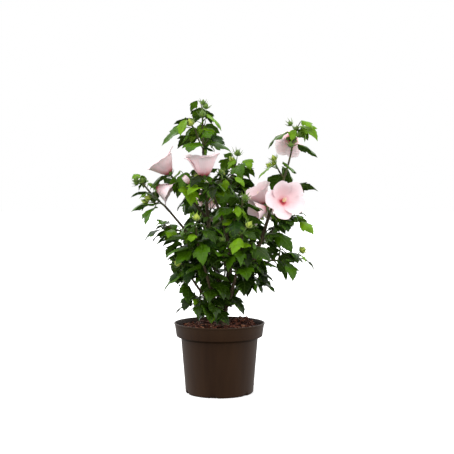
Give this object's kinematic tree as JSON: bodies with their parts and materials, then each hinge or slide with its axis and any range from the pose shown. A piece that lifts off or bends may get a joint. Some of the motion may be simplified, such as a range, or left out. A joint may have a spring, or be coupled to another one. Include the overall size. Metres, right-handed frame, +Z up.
{
  "type": "potted hibiscus shrub",
  "caption": "Upright multi-stemmed hibiscus shrub in flower, with lobed leaves, funnel blooms and buds, in a round rimmed nursery pot of bark compost.",
  "frame": {"origin": "centre of the pot's flat underside", "axes": "+Z up along the pot's axis, +X to the right and -Y towards the viewer in the reference view"},
  "size_m": [0.3915, 0.3279, 0.6131],
  "materials": {
    "pot": "satin brown moulded plastic",
    "compost": "loose reddish bark chips",
    "bark": "dull grey-brown bark",
    "foliage": "soft green leaf"
  },
  "bodies": {
    "root": {"back_bough": "bark", "back_foot_bough": "bark", "back_foot_crown": "foliage", "back_left_bough": "bark", "back_left_crown": "foliage", "back_right_bough": "bark", "back_right_crown": "foliage", "back_spur": "foliage", "back_upper_spur": "foliage", "base_crown": "foliage", "base_front_crown": "foliage", "centre_bough": "bark", "centre_crown": "foliage", "centre_low_spur": "foliage", "centre_right_spur": "foliage", "centre_spur": "foliage", "compost": "compost", "fork_front_spur": "foliage", "fork_left_spur": "foliage", "front_left_bough": "bark", "front_left_crown": "foliage", "front_right_bough": "bark", "front_right_crown": "foliage", "left_crown": "foliage", "left_foot_bough": "bark", "left_foot_crown": "foliage", "left_low_bough": "bark", "left_low_spur": "foliage", "left_mid_spur": "foliage", "left_tip": "foliage", "left_upper_bough": "bark", "pot": "pot", "right_back_spur": "foliage", "right_bloom": "foliage", "right_bough": "bark", "right_crown": "foliage", "right_foot_bough": "bark", "right_foot_crown": "foliage", "right_inner_spur": "foliage", "right_low_bough": "bark", "right_low_crown": "foliage", "right_low_spur": "foliage", "right_outer_spur": "foliage", "tall_back_spur": "foliage", "tall_bough": "bark", "tall_crown": "foliage", "tall_inner_spur": "foliage", "tall_low_spur": "foliage", "tall_spur": "foliage", "trunk": "bark", "upper_right_crown": "foliage"}
  },
  "joints": []
}
